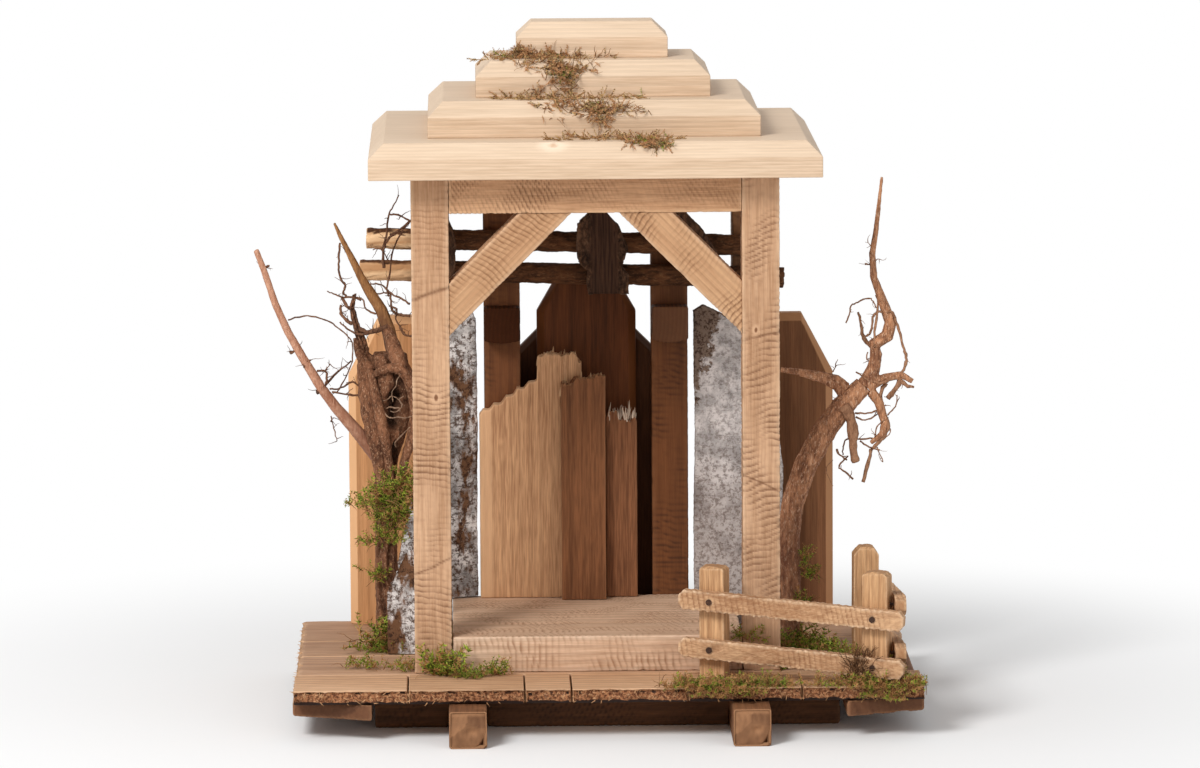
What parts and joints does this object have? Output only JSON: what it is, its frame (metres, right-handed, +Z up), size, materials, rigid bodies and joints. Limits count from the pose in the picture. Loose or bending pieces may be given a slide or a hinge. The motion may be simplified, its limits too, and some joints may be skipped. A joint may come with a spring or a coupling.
{
  "type": "wooden nativity stable",
  "caption": "Small wooden display stable: plank base on skids, timber frame with braces, stepped slab roof, rear wall of boards and bark, corner fence, root and tree.",
  "frame": {"origin": "on the ground, under the middle of the whole stable's box", "axes": "+Z up, +X to the right seen from the open front, +Y from the open front to the rear wall"},
  "size_m": [0.3549, 0.2434, 0.37],
  "materials": {
    "skid_timber": "sawn, dull",
    "dark_timber": "sawn, dark stained",
    "deck_board": "sawn, bark edged, dull",
    "floor_board": "planed, dull",
    "frame_timber": "sawn, dull",
    "inner_timber": "sawn, stained",
    "roof_wood": "planed softwood, dull",
    "wall_board": "stained, satin",
    "broken_wood": "split, dull",
    "birch_bark": "papery bark",
    "dark_bark": "rough bark",
    "log": "rough bark",
    "fence_wood": "split, dull",
    "nail": "rusted",
    "root_wood": "rough bark",
    "peeled_branch": "peeled, dull",
    "tree_wood": "flaking bark",
    "moss": "dry tufts"
  },
  "bodies": {
    "root": {"left_skid": "skid_timber", "right_skid": "skid_timber", "front_cross_beam": "dark_timber", "rear_cross_beam": "dark_timber", "left_bearer": "deck_board", "right_bearer": "deck_board", "front_plank_1": "deck_board", "front_plank_2": "deck_board", "front_plank_3": "deck_board", "front_plank_4": "deck_board", "front_plank_5": "deck_board", "front_plank_6": "deck_board", "second_plank": "deck_board", "third_plank": "deck_board", "rear_plank": "deck_board", "floor_board": "floor_board", "front_left_post": "frame_timber", "front_right_post": "frame_timber", "rear_left_post": "inner_timber", "rear_right_post": "inner_timber", "inner_left_post": "inner_timber", "inner_right_post": "inner_timber", "left_post_block": "inner_timber", "right_post_block": "inner_timber", "front_header": "frame_timber", "rear_header": "inner_timber", "left_brace": "frame_timber", "right_brace": "frame_timber", "roof_slab_1": "roof_wood", "roof_slab_2": "roof_wood", "roof_slab_3": "roof_wood", "roof_slab_4": "roof_wood", "left_wing_board": "wall_board", "right_wing_board": "wall_board", "rear_left_board": "wall_board", "rear_right_board": "wall_board", "middle_board": "wall_board", "wide_broken_board": "broken_wood", "narrow_broken_board": "broken_wood", "low_broken_board": "broken_wood", "left_birch_slab": "birch_bark", "right_birch_slab": "birch_bark", "bark_king_piece": "dark_bark", "bark_brace": "dark_bark", "bark_cleat": "dark_bark", "upper_log_rail": "log", "lower_log_rail": "log", "fence_left_post": "fence_wood", "fence_corner_post": "fence_wood", "fence_back_post": "fence_wood", "fence_front_rails": "fence_wood", "fence_side_rails": "fence_wood", "fence_nails": "nail", "root_trunk": "root_wood", "root_low_branch": "peeled_branch", "root_upright_branch": "root_wood", "tree_trunk": "tree_wood", "tree_side_branch": "tree_wood", "tree_upright_branch": "tree_wood", "moss_tufts": "moss"}
  },
  "joints": []
}
